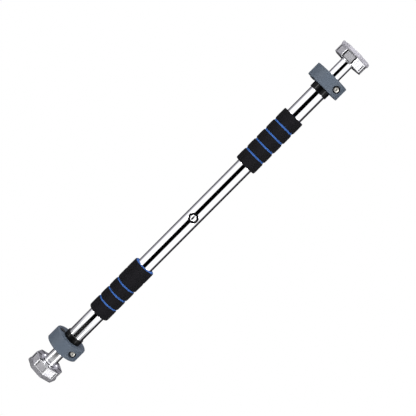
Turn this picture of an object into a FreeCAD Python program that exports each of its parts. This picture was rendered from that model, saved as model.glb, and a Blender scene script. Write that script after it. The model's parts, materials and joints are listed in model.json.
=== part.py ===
"""Telescopic doorway pull-up bar: chromed tubes, foam grips, locking collars and screw-out feet.

The bar lies along X, with its middle at the origin and the collar screws on top (+Z).
Every end piece is built at the right-hand end (+X), and the left-hand end holds its mirror image.
"""

import FreeCAD, Part
import Sketcher
import os

Vector = FreeCAD.Vector

# Driving dimensions, in millimetres and degrees. Each one is an aliased cell of the sheet.
SIZES = {
    # main tube and its middle
    "tube_length": 636.0,
    "tube_diameter": 32.0,
    "tube_wall": 1.5,
    "plug_length": 30.0,
    "centre_screw_turn": 4.0,
    "centre_shank_radius": 3.0,
    "centre_head_radius": 6.8,
    "centre_head_height": 2.6,
    "centre_washer_radius": 9.4,
    "centre_washer_height": 1.0,
    "centre_slot_length": 6.6,
    "centre_slot_width": 1.8,
    "centre_slot_depth": 1.2,
    # foam grips
    "grip_start": 132.5,
    "grip_length": 124.5,
    "grip_wall": 6.25,
    "grip_skin": 1.7,
    "grip_edge": 1.5,
    "left_grip_shift": 2.7,
    "groove_first": 25.5,
    "groove_pitch": 24.0,
    "groove_width": 3.2,
    "groove_lip": 0.7,
    "faint_groove_depth": 0.5,
    # end bush
    "ring_wall": 2.0,
    "ring_length": 12.3,
    "ring_overlap": 2.5,
    "ring_edge": 0.8,
    "bush_depth": 34.0,
    "bush_wall": 1.95,
    "spigot_step": 0.5,
    "spigot_length": 14.0,
    "spigot_groove_start": 4.5,
    "spigot_groove_width": 4.0,
    "spigot_groove_depth": 1.5,
    # locking collar
    "clamp_length": 27.0,
    "clamp_screw_margin": 13.0,
    "clamp_hinge_margin": 11.5,
    "clamp_front_wall": 15.45,
    "clamp_back_wall": 15.45,
    "clamp_crown_extra": 0.5,
    "clamp_corner_radius": 30.0,
    "clamp_edge": 1.2,
    "clamp_split": 0.8,
    "knuckle_wall": 3.95,
    "knuckle_radius": 5.0,
    "knuckle_length": 9.0,
    "knuckle_clearance": 0.3,
    "pin_radius": 2.5,
    "pin_head_radius": 5.0,
    "pin_head_height": 1.5,
    "key_width": 4.2,
    "key_slot_width": 5.0,
    "key_height": 1.2,
    "key_length": 9.5,
    # collar screw and nut
    "screw_wall": 1.9,
    "screw_radius": 2.5,
    "screw_head_lip": 2.3,
    "screw_head_height": 3.5,
    "screw_seat_wall": 6.4676,
    "screw_end_spare": 1.4,
    "screw_socket_width": 3.0,
    "screw_socket_depth": 2.2,
    "counterbore_gap": 2.2,
    "screw_hole_clearance": 0.7,
    "nut_wall": 1.5,
    "nut_height": 4.0,
    "nut_seat_depth": 15.0,
    "nut_clearance": 0.6,
    # inner tube, lead screw and stops
    "inner_wall": 1.5,
    "inner_length": 204.5,
    "inner_show": 34.0,
    "travel_in": 28.0,
    "travel_out": 65.0,
    "lead_radius": 8.0,
    "lead_spare": 12.9,
    "lead_head_length": 18.0,
    "stop_lip": 2.5,
    "stop_length": 4.0,
    "drive_nut_length": 18.0,
    "end_plug_length": 24.0,
    # foot and pad
    "foot_across_flats": 58.0,
    "foot_length": 17.0,
    "foot_turn": 13.0,
    "foot_edge": 1.0,
    "pocket_rim": 2.0,
    "pocket_depth": 1.4,
    "foot_socket_depth": 8.0,
    "boss_wall": 2.0,
    "boss_height": 1.0,
    "boss_groove_width": 3.2,
    "boss_groove_depth": 4.0,
    "foot_screw_radius": 4.0,
    "foot_screw_length": 26.0,
    "foot_screw_head_lip": 4.0,
    "foot_screw_head_height": 4.0,
    "foot_screw_socket_width": 5.0,
    "foot_screw_socket_depth": 3.0,
    "pad_lip": 1.5,
    "pad_length": 7.0,
    "pad_edge": 1.6,
    "pad_groove_width": 2.4,
    "pad_groove_depth": 1.2,
    "pad_groove_pitch": 7.0,
    # clearances
    "slip": 0.05,
    "play": 0.1,
}

GROOVES = 4
FOOT_SIDES = 8
PAD_GROOVES = 3
OVERRUN = 1.0  # how far a cutting tool runs past the face that it opens

# Places along the bar on the right-hand end, each worked out from the sheet.
TUBE_END = "(sizes.tube_length / 2)"
TUBE_RADIUS = "(sizes.tube_diameter / 2)"
TUBE_BORE = f"({TUBE_RADIUS} - sizes.tube_wall)"
RING_START = f"({TUBE_END} - sizes.ring_overlap)"
RING_END = f"({RING_START} + sizes.ring_length)"
SPIGOT_RADIUS = f"({TUBE_RADIUS} - sizes.spigot_step)"
SPIGOT_END = f"({RING_END} + sizes.spigot_length)"
GROOVE_START = f"({RING_END} + sizes.spigot_groove_start)"
GROOVE_END = f"({GROOVE_START} + sizes.spigot_groove_width)"
GROOVE_FLOOR = f"({SPIGOT_RADIUS} - sizes.spigot_groove_depth)"
CLAMP_START = f"({RING_END} + sizes.play)"
CLAMP_END = f"({CLAMP_START} + sizes.clamp_length)"
KNUCKLE_START = f"({CLAMP_START} + (sizes.clamp_length - sizes.knuckle_length) / 2)"
KNUCKLE_END = f"({KNUCKLE_START} + sizes.knuckle_length)"
KEY_START = f"({SPIGOT_END} + 2 * sizes.play)"
KEY_END = f"({KEY_START} + sizes.key_length)"
SCREW_X = f"({CLAMP_START} + sizes.clamp_length / 2)"
SPIGOT_ROOM = f"({SPIGOT_RADIUS} + sizes.slip)"
SCREW_HOLE = "(sizes.screw_radius + sizes.play)"
SCREW_PLACE = f"({SPIGOT_RADIUS} + sizes.screw_wall + {SCREW_HOLE})"
SCREW_Y = f"(-{SCREW_PLACE})"
SCREW_HEAD = "(sizes.screw_radius + sizes.screw_head_lip)"
COUNTERBORE = f"({SCREW_HEAD} + sizes.counterbore_gap)"
SCREW_INNER_EDGE = f"({SCREW_PLACE} - {COUNTERBORE})"
SCREW_SEAT = f"(sqrt(max(0; {SPIGOT_ROOM} ^ 2 - {SCREW_INNER_EDGE} ^ 2)) + sizes.screw_seat_wall)"
KNUCKLE_PLACE = f"({SPIGOT_ROOM} + sizes.knuckle_wall + sizes.knuckle_radius)"
FOOT_START = f"({CLAMP_END} + sizes.inner_show)"
FOOT_END = f"({FOOT_START} + sizes.foot_length)"
INNER_RADIUS = f"({TUBE_BORE} - sizes.bush_wall - sizes.slip)"
INNER_BORE = f"({INNER_RADIUS} - sizes.inner_wall)"
INNER_END = f"({FOOT_START} + sizes.foot_socket_depth)"
INNER_START = f"({INNER_END} - sizes.inner_length)"
STOP_RADIUS = "(sizes.lead_radius + sizes.stop_lip)"
TRAVEL = "(sizes.travel_out + sizes.travel_in)"
LEAD_LENGTH = f"(sizes.stop_length + {TRAVEL} + sizes.play + sizes.drive_nut_length + sizes.lead_spare)"
LEAD_START = f"({INNER_START} - {LEAD_LENGTH})"
DRIVE_NUT_START = f"({LEAD_START} + sizes.stop_length + sizes.travel_out + sizes.play)"
GRIP_RADIUS = f"({TUBE_RADIUS} + sizes.grip_wall)"
CORE_RADIUS = f"({GRIP_RADIUS} - sizes.grip_skin)"

ALONG = "rotation(vector(0; 1; 0); 90)"
UPRIGHT = "rotation(vector(0; 0; 1); 0)"

doc = FreeCAD.newDocument("pull_up_bar")
sheet = doc.addObject("Spreadsheet::Sheet", "sizes")
pieces = []


def fill_sheet():
    """Write every driving dimension into the sheet as a plain number with an alias."""
    for row, (alias, number) in enumerate(SIZES.items(), start=1):
        sheet.set(f"A{row}", alias)
        sheet.set(f"B{row}", str(number))
        sheet.setAlias(f"B{row}", alias)
    doc.recompute()


def add(kind, place, turn=UPRIGHT, about_bar="0", **sizes):
    """Add a primitive bound to the sheet: turned in place, moved to its place, then turned about the bar."""
    item = doc.addObject(kind, kind.split("::")[1].lower())
    for name, expression in sizes.items():
        item.setExpression(name, str(expression))
    x, y, z = place
    spin = f"placement(vector(0; 0; 0); rotation(vector(1; 0; 0); {about_bar}))"
    item.setExpression("Placement", f"{spin} * placement(vector({x}; {y}; {z}); {turn})")
    return item


def rod(start, end, radius, y="0", z="0"):
    """A cylinder along the bar, from start to end."""
    return add("Part::Cylinder", (start, y, z), ALONG, Radius=radius, Height=f"{end} - {start}")


def post(x, y, low, high, radius, about_bar="0"):
    """A cylinder across the bar, from low to high."""
    return add("Part::Cylinder", (x, y, low), about_bar=about_bar, Radius=radius, Height=f"{high} - {low}")


def hexagon(x, y, low, high, across_flats):
    """A six-sided post across the bar, from low to high."""
    item = add("Part::Prism", (x, y, low), Circumradius=f"{across_flats} / sqrt(3)", Height=f"{high} - {low}")
    item.Polygon = 6
    return item


def block(x, y, z, about_bar="0"):
    """A box between the two ends given for each axis."""
    lows = (x[0], y[0], z[0])
    length, width, height = (f"{high} - {low}" for low, high in (x, y, z))
    return add("Part::Box", lows, about_bar=about_bar, Length=length, Width=width, Height=height)


def joined(*items):
    """Several solids as one."""
    item = doc.addObject("Part::MultiFuse", "joined")
    item.Shapes = list(items)
    item.Refine = True
    return item


def cut(base, *tools):
    """A base with every tool cut out of it."""
    item = doc.addObject("Part::Cut", "cut")
    item.Base = base
    item.Tool = tools[0] if len(tools) == 1 else joined(*tools)
    item.Refine = True
    return item


def common(base, tool):
    """What a base and a tool share."""
    item = doc.addObject("Part::Common", "common")
    item.Base = base
    item.Tool = tool
    item.Refine = True
    return item


def pipe(start, end, outer, inner):
    """A rod with a bore right through it."""
    return cut(rod(start, end, outer), rod(f"({start} - {OVERRUN})", f"({end} + {OVERRUN})", inner))


def lathe(*outline):
    """A piece turned about the bar's axis. Its outline is a ring of (place along the bar, radius) corners."""
    part_body = doc.addObject("PartDesign::Body", "lathe")
    sketch = part_body.newObject("Sketcher::SketchObject", "outline")
    planes = [plane for plane in part_body.Origin.OriginFeatures if plane.Role == "XY_Plane"]
    sketch.AttachmentSupport = [(planes[0], "")]
    sketch.MapMode = "FlatFace"
    corners = [Vector(number(x), number(radius), 0) for x, radius in outline]
    for first, last in zip(corners, corners[1:] + corners[:1]):
        sketch.addGeometry(Part.LineSegment(first, last))
    for i, (x, radius) in enumerate(outline):
        sketch.addConstraint(Sketcher.Constraint("Coincident", i - 1 if i else len(outline) - 1, 2, i, 1))
        bound = {"DistanceX": x} if radius == "0" else {"DistanceX": x, "DistanceY": radius}
        for kind, expression in bound.items():
            row = sketch.addConstraint(Sketcher.Constraint(kind, -1, 1, i, 1, number(expression)))
            sketch.setExpression(f"Constraints[{row}]", expression)
        if radius == "0":
            sketch.addConstraint(Sketcher.Constraint("PointOnObject", i, 1, -1))
    turned = part_body.newObject("PartDesign::Revolution", "turned")
    turned.Profile = sketch
    turned.ReferenceAxis = (sketch, ["H_Axis"])
    turned.Angle = 360
    return part_body


def number(expression):
    """What an expression on the sheet comes to."""
    return float(sheet.evalExpression(expression))


def rounded(base, radius, wanted):
    """Round the edges of a base that wanted(edge) picks, by a radius given as an expression."""
    doc.recompute()
    item = doc.addObject("Part::Fillet", "rounded")
    item.Base = base
    size = number(radius)
    picked = [(i, size, size) for i, edge in enumerate(base.Shape.Edges, start=1) if wanted(edge)]
    if not picked:
        raise RuntimeError("no edge to round")
    item.Edges = picked
    return item


def keep(name, item):
    """Name an object as one of the bar's own pieces."""
    item.Label = name
    pieces.append(item)
    return item


def mirrored(item):
    """The mirror image of a right-hand piece, at the left-hand end."""
    mirror = doc.addObject("Part::Mirroring", "mirror")
    mirror.Source = item
    mirror.Normal = Vector(1, 0, 0)
    return mirror


def both_ends(name, item):
    """Name a right-hand piece, and add its mirror image at the left-hand end."""
    keep(f"right_{name}", item)
    keep(f"left_{name}", mirrored(item))


# ---- main tube and its middle ----


def centre_post(low, high, radius):
    """A cylinder on the centre screw's axis."""
    return post("0", "0", low, high, radius, about_bar="sizes.centre_screw_turn")


def make_main_tube():
    """The chromed tube, with a hole for the centre screw in its upper wall."""
    tube = pipe("(-sizes.tube_length / 2)", TUBE_END, TUBE_RADIUS, TUBE_BORE)
    keep("main_tube", cut(tube, centre_post("0", "sizes.tube_diameter", "sizes.centre_shank_radius")))


def make_centre_plug():
    """The plug that stops both lead screws, with a hole for the centre screw."""
    plug = rod("(-sizes.plug_length / 2)", "(sizes.plug_length / 2)", TUBE_BORE)
    keep("centre_plug", cut(plug, centre_post("0", "sizes.tube_diameter", "sizes.centre_shank_radius")))


WASHER_TOP = f"({TUBE_RADIUS} + sizes.centre_washer_height)"


def make_centre_washer():
    """The washer that fits the tube's round back and stands round the screw's head."""
    disc = centre_post(TUBE_BORE, WASHER_TOP, "sizes.centre_washer_radius")
    tube = rod("-sizes.tube_diameter", "sizes.tube_diameter", TUBE_RADIUS)
    hole = centre_post("0", f"({WASHER_TOP} + {OVERRUN})", "sizes.centre_shank_radius")
    keep("centre_washer", cut(disc, tube, hole))


def make_centre_screw():
    """The domed screw with a driver slot along the bar."""
    shank = centre_post("0", f"({WASHER_TOP} + {OVERRUN})", "sizes.centre_shank_radius")
    head = centre_post(WASHER_TOP, f"({WASHER_TOP} + sizes.centre_head_height)", "sizes.centre_head_radius")
    dome = "((sizes.centre_head_radius ^ 2 + sizes.centre_head_height ^ 2) / (2 * sizes.centre_head_height))"
    ball = add(
        "Part::Sphere",
        ("0", "0", f"({WASHER_TOP} + sizes.centre_head_height - {dome})"),
        about_bar="sizes.centre_screw_turn",
        Radius=dome,
    )
    slot = block(
        ("(-sizes.centre_slot_length / 2)", "(sizes.centre_slot_length / 2)"),
        ("(-sizes.centre_slot_width / 2)", "(sizes.centre_slot_width / 2)"),
        (f"({WASHER_TOP} + sizes.centre_head_height - sizes.centre_slot_depth)", "sizes.tube_diameter"),
        about_bar="sizes.centre_screw_turn",
    )
    keep("centre_screw", cut(joined(shank, common(head, ball)), slot))


# ---- foam grips ----

GRIP_END = "(sizes.grip_start + sizes.grip_length)"
SHALLOW_FLOOR = f"({GRIP_RADIUS} - sizes.faint_groove_depth)"


def groove_sides(index):
    """The two walls of a groove, counted outwards along the grip."""
    middle = f"(sizes.grip_start + sizes.groove_first + {index} * sizes.groove_pitch)"
    return f"({middle} - sizes.groove_width / 2)", f"({middle} + sizes.groove_width / 2)"


def foam_band(start, end, first_lip, last_lip, dent=()):
    """A band of the grip's outer foam, with its two edges eased and perhaps a dent between them."""
    return lathe(
        (start, CORE_RADIUS),
        (start, f"({GRIP_RADIUS} - {first_lip})"),
        (f"({start} + {first_lip})", GRIP_RADIUS),
        *dent,
        (f"({end} - {last_lip})", GRIP_RADIUS),
        (end, f"({GRIP_RADIUS} - {last_lip})"),
        (end, CORE_RADIUS),
    )


def shallow_groove(index):
    """The outline of a groove that stays within the outer foam."""
    first, last = groove_sides(index)
    return ((first, GRIP_RADIUS), (first, SHALLOW_FLOOR), (last, SHALLOW_FLOOR), (last, GRIP_RADIUS))


def make_skin(shallow):
    """The grip's outer foam, cut through at each groove. Shallow grooves, nearest the middle, stay whole."""
    walls = [groove_sides(index) for index in range(shallow, GROOVES)]
    starts = ["sizes.grip_start"] + [last for first, last in walls]
    ends = [first for first, last in walls] + [GRIP_END]
    dents = [corner for index in range(shallow) for corner in shallow_groove(index)]
    bands = []
    for start, end in zip(starts, ends):
        first_lip = "sizes.grip_edge" if start == starts[0] else "sizes.groove_lip"
        last_lip = "sizes.grip_edge" if end == ends[-1] else "sizes.groove_lip"
        bands.append(foam_band(start, end, first_lip, last_lip, dents if start == starts[0] else ()))
    return joined(*bands)


def moved_in(item):
    """A layer of the left grip, which sits a little nearer the middle than the right one does."""
    item.setExpression("Placement.Base.x", "sizes.left_grip_shift")
    return item


def make_grips():
    """The two foam grips: an inner sleeve that shows in the grooves, and a grooved outer layer."""
    core = pipe("sizes.grip_start", GRIP_END, CORE_RADIUS, TUBE_RADIUS)
    keep("right_grip_core", core)
    keep("left_grip_core", moved_in(mirrored(core)))
    keep("right_grip_skin", make_skin(shallow=0))
    keep("left_grip_skin", moved_in(mirrored(make_skin(shallow=1))))


# ---- end bush and drive nut ----


def make_end_bush():
    """The black bush: a sleeve in the tube, a ring over its end and a grooved spigot for the collar."""
    bore = f"({INNER_RADIUS} + sizes.slip)"
    sleeve_start = f"({TUBE_END} - sizes.bush_depth)"
    ring_radius = f"({TUBE_RADIUS} + sizes.ring_wall)"
    edge = "sizes.ring_edge"
    both_ends("end_bush", lathe(
        (sleeve_start, bore),
        (sleeve_start, TUBE_BORE),
        (TUBE_END, TUBE_BORE),
        (TUBE_END, TUBE_RADIUS),
        (RING_START, TUBE_RADIUS),
        (RING_START, f"({ring_radius} - {edge})"),
        (f"({RING_START} + {edge})", ring_radius),
        (f"({RING_END} - {edge})", ring_radius),
        (RING_END, f"({ring_radius} - {edge})"),
        (RING_END, SPIGOT_RADIUS),
        (GROOVE_START, SPIGOT_RADIUS),
        (GROOVE_START, GROOVE_FLOOR),
        (GROOVE_END, GROOVE_FLOOR),
        (GROOVE_END, SPIGOT_RADIUS),
        (SPIGOT_END, SPIGOT_RADIUS),
        (SPIGOT_END, bore),
    ))


def make_drive_nut():
    """The nut held in the tube, which the lead screw turns through."""
    end = f"({DRIVE_NUT_START} + sizes.drive_nut_length)"
    both_ends("drive_nut", pipe(DRIVE_NUT_START, end, TUBE_BORE, "(sizes.lead_radius + sizes.slip)"))


# ---- locking collar ----

CLAMP_LOW_Y = f"(-{SCREW_PLACE} - sizes.clamp_screw_margin)"
CLAMP_HIGH_Y = f"({KNUCKLE_PLACE} + sizes.clamp_hinge_margin)"
CLAMP_FRONT = f"({SPIGOT_ROOM} + sizes.clamp_front_wall)"
CLAMP_BACK = f"({SPIGOT_ROOM} + sizes.clamp_back_wall)"
CROWN_RADIUS = f"(({CLAMP_HIGH_Y} - {CLAMP_LOW_Y}) / 2 + sizes.clamp_crown_extra)"
SPLIT = "(sizes.clamp_split / 2)"
NUT_HIGH = "(-sizes.nut_seat_depth - sizes.play)"
NUT_LOW = f"({NUT_HIGH} - sizes.nut_height)"
NUT_WIDTH = "(2 * (sizes.screw_radius + sizes.nut_wall))"
NUT_POCKET = f"({NUT_WIDTH} + 2 * sizes.nut_clearance)"


def collar_blank():
    """The collar before it is split: a block with a crowned front and a round-cornered back."""
    block_shape = block(
        (CLAMP_START, CLAMP_END),
        (CLAMP_LOW_Y, CLAMP_HIGH_Y),
        (f"(-{CLAMP_BACK})", CLAMP_FRONT),
    )
    back = rounded(block_shape, "sizes.clamp_corner_radius", is_back_corner)
    crown = rod(
        f"({CLAMP_START} - {OVERRUN})",
        f"({CLAMP_END} + {OVERRUN})",
        CROWN_RADIUS,
        y=f"(({CLAMP_HIGH_Y} + {CLAMP_LOW_Y}) / 2)",
        z=f"({CLAMP_FRONT} - {CROWN_RADIUS})",
    )
    return rounded(common(back, crown), "sizes.clamp_edge", is_across_bar)


def is_back_corner(edge):
    """Is this one of the collar's two long edges at the back?"""
    first, last = (vertex.Point for vertex in edge.Vertexes)
    return abs(first.x - last.x) > 1 and first.z < 0


def is_across_bar(edge):
    """Does every point of this edge lie at one place along the bar?"""
    return edge.BoundBox.XLength < 1e-4


def collar_bore():
    """What the collar leaves free: the spigot with its groove, and the inner tube."""
    play = "sizes.play"
    rib_start = f"({GROOVE_START} + {play})"
    rib_end = f"({GROOVE_END} - {play})"
    return joined(
        rod(f"({CLAMP_START} - {OVERRUN})", f"({CLAMP_END} + {OVERRUN})", f"({INNER_RADIUS} + sizes.slip)"),
        rod(f"({CLAMP_START} - {OVERRUN})", rib_start, SPIGOT_ROOM),
        rod(f"({CLAMP_START} - {OVERRUN})", rib_end, f"({GROOVE_FLOOR} + sizes.slip)"),
        rod(rib_end, f"({SPIGOT_END} + {play})", SPIGOT_ROOM),
    )


def half_space(low, high):
    """A box round the whole collar between two heights."""
    return block(
        (f"({CLAMP_START} - {OVERRUN})", f"({CLAMP_END} + {OVERRUN})"),
        (f"({CLAMP_LOW_Y} - {OVERRUN})", f"({CLAMP_HIGH_Y} + {OVERRUN})"),
        (low, high),
    )


def knuckle(start, end, extra="0"):
    """A hinge knuckle round the pin's axis, or the room that another knuckle needs."""
    return rod(start, end, f"(sizes.knuckle_radius + {extra})", y=KNUCKLE_PLACE)


def make_clamp_front():
    """The collar's front half, with the middle knuckle and the screw's counterbore."""
    gap = "sizes.knuckle_clearance"
    front = common(collar_blank(), half_space(SPLIT, f"({CLAMP_FRONT} + {OVERRUN})"))
    room = joined(
        knuckle(f"({CLAMP_START} - {OVERRUN})", KNUCKLE_START, gap),
        knuckle(KNUCKLE_END, f"({CLAMP_END} + {OVERRUN})", gap),
    )
    solid = joined(cut(front, room), knuckle(KNUCKLE_START, KNUCKLE_END))
    above = f"({CLAMP_FRONT} + {OVERRUN})"
    both_ends("clamp_front", cut(
        solid,
        collar_bore(),
        rod(f"({CLAMP_START} - {OVERRUN})", f"({CLAMP_END} + {OVERRUN})", "sizes.pin_radius", KNUCKLE_PLACE),
        post(SCREW_X, SCREW_Y, SCREW_SEAT, above, COUNTERBORE),
        post(SCREW_X, SCREW_Y, f"(-{OVERRUN})", above, SCREW_HOLE),
    ))


def make_clamp_back():
    """The collar's rear half, with the outer knuckles, the nut's pocket and the key for the inner tube."""
    gap = "sizes.knuckle_clearance"
    below = f"(-{CLAMP_BACK} - {OVERRUN})"
    back = common(collar_blank(), half_space(below, f"(-{SPLIT})"))
    room = knuckle(f"({KNUCKLE_START} - {gap})", f"({KNUCKLE_END} + {gap})", gap)
    ends = joined(
        knuckle(CLAMP_START, f"({KNUCKLE_START} - {gap})"),
        knuckle(f"({KNUCKLE_END} + {gap})", CLAMP_END),
    )
    pin_hole = "(sizes.pin_radius + sizes.slip)"
    solid = cut(
        joined(cut(back, room), ends),
        collar_bore(),
        rod(f"({CLAMP_START} - {OVERRUN})", f"({CLAMP_END} + {OVERRUN})", pin_hole, KNUCKLE_PLACE),
        post(SCREW_X, SCREW_Y, below, "0", "(sizes.screw_radius + sizes.screw_hole_clearance)"),
        hexagon(SCREW_X, SCREW_Y, below, "(-sizes.nut_seat_depth)", NUT_POCKET),
    )
    key = block(
        (KEY_START, KEY_END),
        ("(-sizes.key_width / 2)", "(sizes.key_width / 2)"),
        (f"(-{INNER_RADIUS} - {OVERRUN})", f"(sizes.key_height - {INNER_RADIUS})"),
    )
    both_ends("clamp_back", joined(solid, key))


def make_hinge_pin():
    """The pin that joins the collar's halves, with its head towards the middle of the bar."""
    head_start = f"({CLAMP_START} - sizes.pin_head_height)"
    head = rod(head_start, CLAMP_START, "sizes.pin_head_radius", KNUCKLE_PLACE)
    shank = rod(CLAMP_START, f"({CLAMP_END} - sizes.clamp_edge)", "sizes.pin_radius", KNUCKLE_PLACE)
    both_ends("hinge_pin", joined(head, shank))


def make_lock_screw():
    """The cap screw in the collar's front half, with a six-sided socket."""
    top = f"({SCREW_SEAT} + sizes.screw_head_height)"
    head = post(SCREW_X, SCREW_Y, SCREW_SEAT, top, SCREW_HEAD)
    shank = post(SCREW_X, SCREW_Y, f"({NUT_LOW} - sizes.screw_end_spare)", SCREW_SEAT, "sizes.screw_radius")
    socket_floor = f"({top} - sizes.screw_socket_depth)"
    socket = hexagon(SCREW_X, SCREW_Y, socket_floor, f"({top} + {OVERRUN})", "sizes.screw_socket_width")
    both_ends("lock_screw", cut(joined(head, shank), socket))


def make_lock_nut():
    """The nut that the collar screw pulls up."""
    nut = hexagon(SCREW_X, SCREW_Y, NUT_LOW, NUT_HIGH, NUT_WIDTH)
    bore = post(SCREW_X, SCREW_Y, f"({NUT_LOW} - {OVERRUN})", "0", "(sizes.screw_radius + sizes.slip)")
    both_ends("lock_nut", cut(nut, bore))


# ---- inner tube and lead screw ----


def make_inner_tube():
    """The chromed tube that slides out, with a slot along its back for the collar's key."""
    slot = block(
        (f"({KEY_START} - sizes.travel_out - {OVERRUN})", f"({KEY_END} + sizes.travel_in + {OVERRUN})"),
        ("(-sizes.key_slot_width / 2)", "(sizes.key_slot_width / 2)"),
        (f"(-{INNER_RADIUS} - {OVERRUN})", f"({OVERRUN} - {INNER_BORE})"),
    )
    both_ends("inner_tube", cut(pipe(INNER_START, INNER_END, INNER_RADIUS, INNER_BORE), slot))


def make_lead_screw():
    """The screw fixed in the inner tube, which runs through the drive nut."""
    head_end = f"({INNER_START} + sizes.lead_head_length)"
    both_ends("lead_screw", joined(
        rod(LEAD_START, INNER_START, "sizes.lead_radius"),
        rod(INNER_START, head_end, INNER_BORE),
    ))


def make_lead_stop():
    """The collar on the lead screw's inner end, which keeps it from leaving the nut."""
    end = f"({LEAD_START} + sizes.stop_length)"
    start = f"({LEAD_START} - sizes.stop_length)"
    cup = pipe(LEAD_START, end, STOP_RADIUS, "sizes.lead_radius")
    both_ends("lead_stop", joined(rod(start, LEAD_START, STOP_RADIUS), cup))


def make_tube_plug():
    """The plug in the inner tube's outer end, tapped for the foot's screw."""
    start = f"({INNER_END} - sizes.end_plug_length)"
    both_ends("tube_plug", pipe(start, INNER_END, INNER_BORE, "sizes.foot_screw_radius"))


# ---- foot and pad ----

FOOT_CORNER = f"(sizes.foot_across_flats / 2 / cos({180 / FOOT_SIDES}))"


def foot_screw_shape():
    """The foot's countersunk screw before its socket is cut, which is also the hole that it leaves."""
    start = f"({FOOT_END} - sizes.foot_screw_length)"
    neck = f"({FOOT_END} - sizes.foot_screw_head_height)"
    return lathe(
        (start, "0"),
        (start, "sizes.foot_screw_radius"),
        (neck, "sizes.foot_screw_radius"),
        (FOOT_END, "(sizes.foot_screw_radius + sizes.foot_screw_head_lip)"),
        (FOOT_END, "0"),
    )


def make_foot_screw():
    """The countersunk screw that holds the foot to the tube's plug."""
    socket = add(
        "Part::Prism",
        (f"({FOOT_END} - sizes.foot_screw_socket_depth)", "0", "0"),
        ALONG,
        Circumradius="sizes.foot_screw_socket_width / sqrt(3)",
        Height=f"sizes.foot_screw_socket_depth + {OVERRUN}",
    )
    socket.Polygon = 6
    both_ends("foot_screw", cut(foot_screw_shape(), socket))


def foot_pocket(index):
    """The shallow pocket in one of the foot's sides."""
    flat = "(sizes.foot_across_flats / 2)"
    half_side = f"({flat} * tan({180 / FOOT_SIDES}) - sizes.pocket_rim)"
    return block(
        (f"({FOOT_START} + sizes.pocket_rim)", f"({FOOT_END} - sizes.pocket_rim)"),
        (f"(-{half_side})", half_side),
        (f"({flat} - sizes.pocket_depth)", f"({flat} + {OVERRUN})"),
        about_bar=f"(sizes.foot_turn + {(index + 0.5) * 360 / FOOT_SIDES})",
    )


def make_foot():
    """The eight-sided foot, with a pocket in each side and a boss round the inner tube."""
    prism = add(
        "Part::Prism",
        (FOOT_START, "0", "0"),
        ALONG,
        about_bar="sizes.foot_turn",
        Circumradius=FOOT_CORNER,
        Height="sizes.foot_length",
    )
    prism.Polygon = FOOT_SIDES
    eased = rounded(prism, "sizes.foot_edge", lambda edge: True)
    boss_radius = f"({INNER_RADIUS} + sizes.boss_wall)"
    moat_floor = f"({FOOT_START} + sizes.boss_groove_depth)"
    moat = pipe(
        f"({FOOT_START} - {OVERRUN})", moat_floor, f"({boss_radius} + sizes.boss_groove_width)", boss_radius
    )
    boss = rod(f"({FOOT_START} - sizes.boss_height)", moat_floor, boss_radius)
    pockets = [foot_pocket(index) for index in range(FOOT_SIDES)]
    socket = rod(f"({FOOT_START} - sizes.boss_height - {OVERRUN})", INNER_END, INNER_RADIUS)
    both_ends("foot", cut(joined(cut(eased, moat, *pockets), boss), socket, foot_screw_shape()))


def make_pad():
    """The eight-sided rubber pad on the foot's outer face, with round grooves in its gripping face."""
    end = f"({FOOT_END} + sizes.pad_length)"
    flat = "(sizes.foot_across_flats / 2 + sizes.pad_lip)"
    floor = f"({end} - sizes.pad_groove_depth)"
    prism = add(
        "Part::Prism",
        (FOOT_END, "0", "0"),
        ALONG,
        about_bar="sizes.foot_turn",
        Circumradius=f"{flat} / cos({180 / FOOT_SIDES})",
        Height="sizes.pad_length",
    )
    prism.Polygon = FOOT_SIDES
    eased = rounded(prism, "sizes.pad_edge", lambda edge: True)
    grooves = []
    for index in range(1, PAD_GROOVES + 1):
        outer = f"({flat} - {index} * sizes.pad_groove_pitch)"
        inner = f"({outer} - sizes.pad_groove_width)"
        grooves.append(pipe(floor, f"({end} + {OVERRUN})", outer, inner))
    both_ends("pad", cut(eased, *grooves))


def check(items):
    """Stop if any object of the document failed, or any piece isn't a sound solid."""
    for item in doc.Objects:
        if {"Invalid", "Error"} & set(item.State):
            raise RuntimeError(f"{item.Label} failed: {item.State}")
    for item in items:
        if item.Shape.isNull() or not item.Shape.isValid() or not item.Shape.Solids:
            raise RuntimeError(f"{item.Label} has no sound solid")


def main():
    """Build every piece and write each one to its own STEP file."""
    fill_sheet()
    make_main_tube()
    make_centre_plug()
    make_centre_washer()
    make_centre_screw()
    make_grips()
    make_end_bush()
    make_drive_nut()
    make_clamp_front()
    make_clamp_back()
    make_hinge_pin()
    make_lock_screw()
    make_lock_nut()
    make_inner_tube()
    make_lead_screw()
    make_lead_stop()
    make_tube_plug()
    make_foot()
    make_foot_screw()
    make_pad()
    doc.recompute()
    check(pieces)
    os.makedirs("parts", exist_ok=True)
    for piece in pieces:
        piece.Shape.exportStep(f"parts/{piece.Label}.step")
        print(f"{piece.Label}: {len(piece.Shape.Solids)} solid(s), {piece.Shape.Volume / 1000:.2f} cm3")


main()
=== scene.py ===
"""A telescopic doorway pull-up bar: polished tubes, foam grips, locking collars and screw-out feet.

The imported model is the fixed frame. The tubes, grips, pads, rings and the middle button are new surfaces worked out
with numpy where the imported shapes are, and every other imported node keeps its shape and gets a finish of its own.
Lengths are in metres. +X runs along the bar, +Z points to the collar screws' side that faces the viewer.
"""

import json
import logging
import math
from dataclasses import dataclass, field
from enum import Enum
from typing import Mapping, Sequence, Union

import bmesh
import bpy
import numpy as np
from mathutils import Matrix, Vector

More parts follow.
